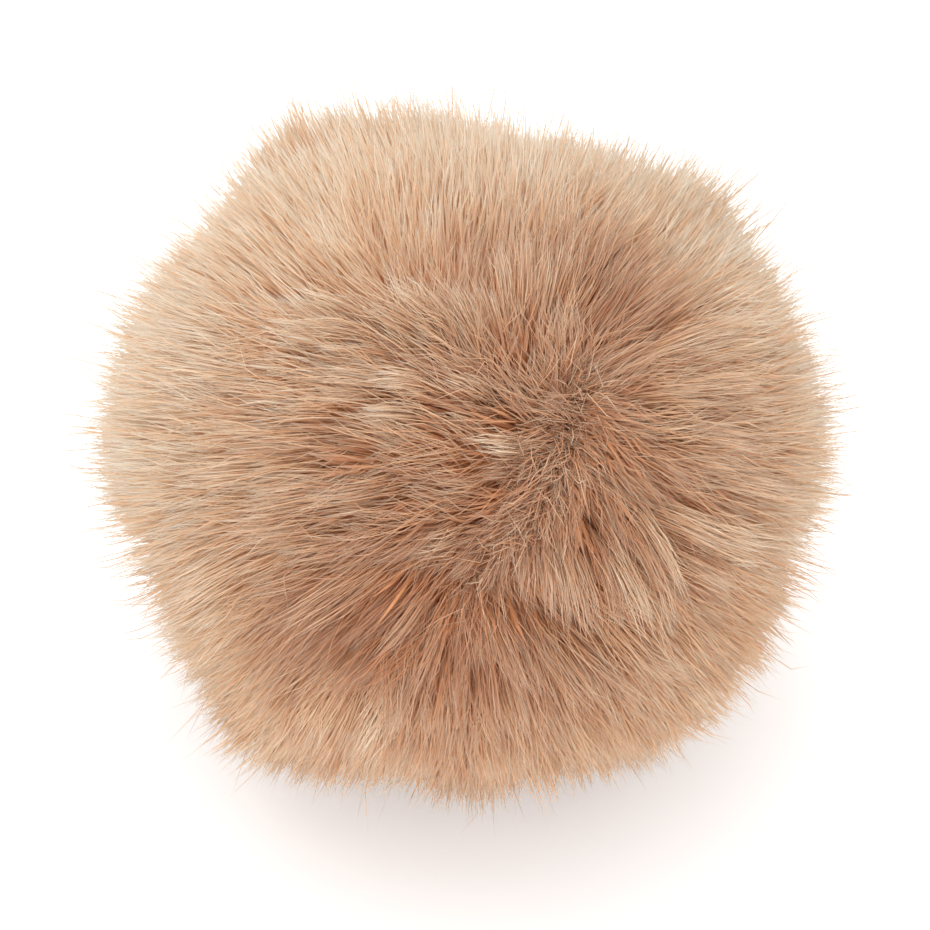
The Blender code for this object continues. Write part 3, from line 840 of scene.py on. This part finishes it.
def needles(name, centres, radii, shade, collection):
    """Joins closed needles into one mesh. A needle has a ring of three corners at each centre but its last,
    which is its point, and a triangle closes its root. Its map holds the shade across and the length up, and
    it is shaded by its own normals with SOFTNESS x the direction out of the ball."""
    count, stations = centres.shape[:2]
    rings = stations - 1
    way = unit(np.gradient(centres, axis=1))[:, :rings]
    aside = unit(np.cross(way, unit(centres[:, :1] - MIDDLE) + OFF_ITS_WAY))
    third = np.cross(way, aside)
    turn = np.arange(SIDES) * (2 * math.pi / SIDES)
    round_it = aside[:, :, None] * np.cos(turn)[:, None] + third[:, :, None] * np.sin(turn)[:, None]
    ring_points = centres[:, :rings, None] + round_it * np.array(radii)[None, :, None, None]
    points = np.concatenate((ring_points.reshape(count, -1, 3), centres[:, -1:]), axis=1)
    a_needle = points.shape[1]
    side = np.arange(SIDES)
    after = (side + 1) % SIDES
    band = np.stack((side, after, after + SIDES, side + SIDES), 1)
    quads = np.concatenate([band + ring * SIDES for ring in range(rings - 1)])
    last = (rings - 1) * SIDES
    ends = np.stack((last + side, last + after, np.full(SIDES, a_needle - 1)), 1)
    pieces = [*quads, *ends, side[::-1]]
    corners = np.concatenate(pieces)
    sizes = np.array([len(piece) for piece in pieces])
    loops = (corners[None] + (np.arange(count) * a_needle)[:, None]).ravel()
    starts = (np.cumsum(sizes) - sizes)[None] + (np.arange(count) * len(corners))[:, None]
    mesh = bpy.data.meshes.new(name)
    mesh.vertices.add(count * a_needle)
    mesh.vertices.foreach_set("co", points.astype(np.float32).ravel())
    mesh.loops.add(len(loops))
    mesh.loops.foreach_set("vertex_index", loops.astype(np.int32))
    mesh.polygons.add(count * len(pieces))
    mesh.polygons.foreach_set("loop_start", starts.astype(np.int32).ravel())
    mesh.update(calc_edges=True)
    mesh.shade_smooth()
    own = np.concatenate((round_it.reshape(count, -1, 3), way[:, -1:]), axis=1)
    shaded = unit(own + SOFTNESS * unit(points - MIDDLE))
    mesh.normals_split_custom_set_from_vertices(shaded.reshape(-1, 3).tolist())
    along = np.append(np.repeat(np.linspace(0, 1, stations)[:rings], SIDES), 1.0)
    across = np.append(np.tile(side / SIDES, rings), 0.5) * MAP_WIDTH
    flat_map = mesh.uv_layers.new(name="OFBake")
    u = shade[:, None] + across[None]
    v = np.broadcast_to(MAP_MARGIN + (1 - 2 * MAP_MARGIN) * along, u.shape)
    loop_u, loop_v = u[:, corners].ravel(), v[:, corners].copy()
    loop_v[:, -SIDES:] += np.array((0.0, MAP_WIDTH, 0.0))
    flat_map.data.foreach_set("uv", np.stack((loop_u, loop_v.ravel()), 1).astype(np.float32).ravel())
    piece = bpy.data.objects.new(name, mesh)
    collection.objects.link(piece)
    return piece


def backing(collection):
    """The gathered ball of fur fabric: an ellipsoid on a grid of turn and tilt, with shallow gathers that run
    to both poles: radius x (1 - GATHER_DEPTH x cos(GATHERS x turn) x sin(tilt))."""
    turn = np.arange(TURNS) * (2 * math.pi / TURNS)
    tilt = np.linspace(0, math.pi, TILTS + 1)[1:-1]
    grid_tilt, grid_turn = np.meshgrid(tilt, turn, indexing="ij")
    level = np.sin(grid_tilt)
    radius = 1 - GATHER_DEPTH * np.cos(GATHERS * grid_turn) * level
    ball = np.stack((level * np.cos(grid_turn), level * np.sin(grid_turn), np.cos(grid_tilt)), -1)
    points = (ball * radius[..., None] * BACKING_HALF).reshape(-1, 3)
    poles = np.array(((0, 0, 1), (0, 0, -1))) * BACKING_HALF
    points = np.concatenate((points, poles)) + MIDDLE
    row, column = np.meshgrid(np.arange(TILTS - 2), np.arange(TURNS), indexing="ij")
    here, right = row * TURNS + column, row * TURNS + (column + 1) % TURNS
    quads = np.stack((here, here + TURNS, right + TURNS, right), -1).reshape(-1, 4)
    rim, beside, low = np.arange(TURNS), (np.arange(TURNS) + 1) % TURNS, (TILTS - 2) * TURNS
    top = np.stack((np.full(TURNS, len(points) - 2), rim, beside), 1)
    bottom = np.stack((np.full(TURNS, len(points) - 1), low + beside, low + rim), 1)
    mesh = bpy.data.meshes.new("gathered_ball")
    mesh.from_pydata(points.tolist(), [], quads.tolist() + top.tolist() + bottom.tolist())
    mesh.update()
    mesh.shade_smooth()
    piece = bpy.data.objects.new("gathered_ball", mesh)
    collection.objects.link(piece)
    return piece


def new_finish(name, roughness):
    """A material, with its nodes, its links and its shader."""
    material = bpy.data.materials.new(name)
    material.use_nodes = True
    nodes = material.node_tree.nodes
    shader = nodes["Principled BSDF"]
    shader.inputs["Roughness"].default_value = roughness
    return material, nodes, material.node_tree.links, shader


def ramp(nodes, stops):
    """A colour ramp with a stop for each row of place and colour."""
    node = nodes.new("ShaderNodeValToRGB")
    elements = node.color_ramp.elements
    elements[0].position, elements[0].color = stops[0]["at"], (*stops[0]["colour"], 1)
    elements[1].position, elements[1].color = stops[-1]["at"], (*stops[-1]["colour"], 1)
    for stop in stops[1:-1]:
        elements.new(stop["at"]).color = (*stop["colour"], 1)
    return node


def fur_finish():
    """Soft fibre. Its colour runs up the strand from roots with a painted warm glow, and across the map it
    goes from the underfur to the deep strands, on to the pale ones and on to the rim's strands, painted pale
    for the light through their tips."""
    material, nodes, links, shader = new_finish("fur_pile", 0.6)
    shader.inputs["Specular IOR Level"].default_value = 0.08
    uv = nodes.new("ShaderNodeUVMap")
    uv.uv_map = "OFBake"
    split = nodes.new("ShaderNodeSeparateXYZ")
    links.new(uv.outputs["UV"], split.inputs["Vector"])
    # The last step goes on to the rim's strands, painted pale for the light through their tips.
    steps = ((DEEP_STRAND, 0.0, UNDERFUR_SHADES), (PALE_STRAND, UNDERFUR_SHADES, PALE_SHADES),
             (RIM_LIT_STRAND, PALE_SHADES, 1.0))
    lowest = ramp(nodes, UNDERFUR)
    links.new(split.outputs["Y"], lowest.inputs["Fac"])
    colour = lowest.outputs["Color"]
    for stops, start, end in steps:
        strand = ramp(nodes, stops)
        links.new(split.outputs["Y"], strand.inputs["Fac"])
        along = nodes.new("ShaderNodeMapRange")
        along.inputs["From Min"].default_value = start
        along.inputs["From Max"].default_value = end
        links.new(split.outputs["X"], along.inputs["Value"])
        mix = nodes.new("ShaderNodeMix")
        mix.data_type = "RGBA"
        links.new(along.outputs["Result"], mix.inputs["Factor"])
        links.new(colour, mix.inputs["A"])
        links.new(strand.outputs["Color"], mix.inputs["B"])
        colour = mix.outputs["Result"]
    links.new(colour, shader.inputs["Base Color"])
    return material


def backing_finish():
    """Knitted backing cloth: warm brown, mottled by fine noise."""
    material, nodes, links, shader = new_finish("fur_backing", 0.9)
    place = nodes.new("ShaderNodeTexCoord")
    noise = nodes.new("ShaderNodeTexNoise")
    noise.inputs["Scale"].default_value = CLOTH_GRAIN
    links.new(place.outputs["Object"], noise.inputs["Vector"])
    tone = ramp(nodes, CLOTH_TONES)
    links.new(noise.outputs["Fac"], tone.inputs["Fac"])
    links.new(tone.outputs["Color"], shader.inputs["Base Color"])
    return material


def dress(piece, material):
    """Gives a piece its material and its body, and hides the imported part that it stands for."""
    piece.data.materials.append(material)
    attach(piece, "root")
    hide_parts(NODE)


def painted_shade(directions):
    """How much painted shade deepens the shade at each direction: a sum of bells, and more the lower the pile
    lies, as painted shade towards the floor.
    """
    drop = np.maximum(LOW_PILE - directions[:, 2], 0)
    return bells(directions, PAINTED_SHADE_PLACES, "painted_shade") + PAINTED_SHADE_LOW_DOWN * drop


def tuft_shades(tips, owner, dice):
    """Each strand's shade: its tuft's, with painted shade at the parting, the whorls and the shaded places, a
    little uneven.
    """
    tuft = TUFT_SHADE["rim"] + wavy(tips, dice, TUFT_SHADE_WAVES)
    tuft += dice.normal(0, TUFT_SHADE["tufts"], len(tips))
    tuft -= TUFT_SHADE["parting"] * combed(tips) + TUFT_SHADE["whorls"] * bells(tips, WHORLS, "calm")
    tuft -= painted_shade(tips)
    return np.clip(tuft[owner] + dice.normal(0, TUFT_SHADE["strands"], len(owner)), UNDERFUR_SHADES, PALEST)


def single_shades(tips, shade, deepest, dice):
    """The shades of strands in no tuft: painted deeper towards the parting and in the shaded places, and
    moved a little at random.
    """
    mean = shade["rim"] - shade["parting"] * combed(tips) - painted_shade(tips)
    return np.clip(mean + dice.normal(0, shade["strands"], len(tips)), deepest, PALEST)


def make_strands(name, centres, kind, shades, fur, collection):
    """A piece of pile: closed needles through the centres, in the fur's finish."""
    dress(needles(name, centres, [radius for share, radius in kind["rings"]], shades, collection), fur)


def make_tufts(fur, collection, dice):
    """The long pile, in tufts, a band of them to a piece."""
    paths, ends = tuft_paths(dice)
    tufts_a_band = math.ceil(len(paths) / BANDS)
    for band in range(BANDS):
        rows = slice(band * tufts_a_band, (band + 1) * tufts_a_band)
        spreads = TUFT_SPREAD * dice.uniform(*TUFT_SPREADS_VARY, len(paths[rows]))
        centres, owner = strand_centres(paths[rows], ends[rows], STRANDS_A_TUFT, spreads, TUFTED, dice)
        shades = tuft_shades(unit(paths[rows, -1] - MIDDLE), owner, dice)
        make_strands(f"pile_band_{band + 1}", centres, TUFTED, shades, fur, collection)


def make_laid_locks(fur, collection, dice):
    """The listed locks, laid over the rest."""
    paths = laid_lock_paths()
    spreads = listed(LAID_LOCKS, "wide") * MILLIMETRE / SPREADS_A_LOCK
    centres, owner = strand_centres(paths, np.ones(len(paths)), LAID_LOCK_STRANDS, spreads, LAID, dice)
    # Laid locks are darkened all over, and take more painted shade where the pile is painted deeper.
    down = LAID_SHADE["down"] + LAID_SHADE["painted_shade"] * painted_shade(unit(paths[:, -1] - MIDDLE))
    shades = (listed(LAID_LOCKS, "shade") - down)[owner] + dice.normal(0, LAID_SHADE["strands"], len(owner))
    make_strands("laid_locks", centres, LAID, np.clip(shades, UNDERFUR_SHADES, PALEST), fur, collection)


def make_short_pile(fur, collection, dice):
    """Thick short strands that close the view down to the backing, denser at the whorls."""
    tips = np.concatenate((jittered(evenly_round(SHORT_PILE["all over"]), dice, SHORT_PILE["jitter"]),
                           strewn_on_whorls(SHORT_PILE["whorls"], SHORT_PILE["strewn"], dice)))
    length = SHORT_PILE["long"] * PILE_LENGTH
    paths = pile_paths(tips, dice, SHORT_PILE["mess"], SHORT_PILE["high"], length)
    centres = single_strands(paths, SHORT, dice)
    shades = single_shades(tips, SHORT_SHADE, DEEPEST_SHORT, dice)
    make_strands("short_pile", centres, SHORT, shades, fur, collection)


def make_tangled_pile(fur, collection, dice):
    """Fine strands that stand up across one another at the whorls and along the parting."""
    tips = strewn_on_whorls(TANGLED_PILE["whorls"], TANGLED_PILE["strewn"], dice)
    length = TANGLED_PILE["long"] * PILE_LENGTH
    paths = pile_paths(tips, dice, TANGLED_PILE["mess"], TANGLED_PILE["high"], length)
    centres = single_strands(paths, TANGLED, dice)
    make_strands("tangled_pile", centres, TANGLED, dice.uniform(*TANGLED_SHADES, len(tips)), fur, collection)


def make_flying_pile(fur, collection, dice):
    """Fine strands that stand a little proud of the rest, but not low down."""
    tips = jittered(evenly_round(FLYING_PILE["all over"]), dice, FLYING_PILE["jitter"])
    high = np.where(tips[:, 2] > LOW_DOWN, FLYING_PILE["high"], FLYING_PILE["high low down"])
    centres = single_strands(pile_paths(tips, dice, FLYING_PILE["mess"], high, PILE_LENGTH), FLYING, dice)
    shades = single_shades(tips, FLYING_SHADE, UNDERFUR_SHADES, dice)
    make_strands("flying_pile", centres, FLYING, shades, fur, collection)


def make_pom_pom(collection):
    """The stuffed ball, and the kinds of pile that it carries."""
    dice = np.random.default_rng(SEED)
    fur = fur_finish()
    ball = backing(collection)
    dress(ball, backing_finish())
    for make in (make_tufts, make_laid_locks, make_short_pile, make_tangled_pile, make_flying_pile):
        make(fur, collection, dice)


def make_floor():
    """A plain pale floor, not part of the object."""
    bpy.ops.mesh.primitive_circle_add(vertices=96, radius=4.0, fill_type="NGON")
    floor = bpy.context.object
    floor.name = "floor"
    material, _, _, shader = new_finish("pale_floor", 0.9)
    shader.inputs["Base Color"].default_value = FLOOR_COLOUR
    shader.inputs["Emission Color"].default_value = (1, 1, 1, 1)
    shader.inputs["Emission Strength"].default_value = FLOOR_GLOW
    floor.data.materials.append(material)


def make_light(name, place, power, size):
    """A square soft light at a place, turned to the ball."""
    lamp = bpy.data.lights.new(name, "AREA")
    lamp.energy, lamp.size = power, size
    light = bpy.data.objects.new(name, lamp)
    light.location = place
    light.rotation_euler = (Vector(MIDDLE) - Vector(place)).to_track_quat("-Z", "Y").to_euler()
    bpy.context.scene.collection.objects.link(light)


def make_studio():
    """A white sky, the soft lights, and colours shown as they are."""
    world = bpy.data.worlds.new("studio")
    bpy.context.scene.world = world
    world.use_nodes = True
    world.node_tree.nodes["Background"].inputs["Color"].default_value = (1, 1, 1, 1)
    world.node_tree.nodes["Background"].inputs["Strength"].default_value = SKY_STRENGTH
    for light in LIGHTS:
        make_light(**light)
    bpy.context.scene.view_settings.view_transform = "Standard"
    bpy.context.scene.view_settings.look = "None"


def make_camera():
    """Looks down at the ball from the front at VIEW_ELEVATION."""
    camera_data = bpy.data.cameras.new("camera")
    camera_data.lens = LENS
    camera_data.sensor_width = SENSOR_WIDTH
    camera_data.clip_start = 0.01
    camera_data.clip_end = 20.0
    camera = bpy.data.objects.new("camera", camera_data)
    camera.location = Vector(EYE)
    camera.rotation_euler = (-Vector(TO_THE_EYE)).to_track_quat("-Z", "Y").to_euler()
    bpy.context.scene.collection.objects.link(camera)
    bpy.context.scene.camera = camera


pom_pom = bpy.data.collections.new("pom_pom")
bpy.context.scene.collection.children.link(pom_pom)
make_pom_pom(pom_pom)
make_floor()
make_studio()
make_camera()
bpy.context.view_layer.update()
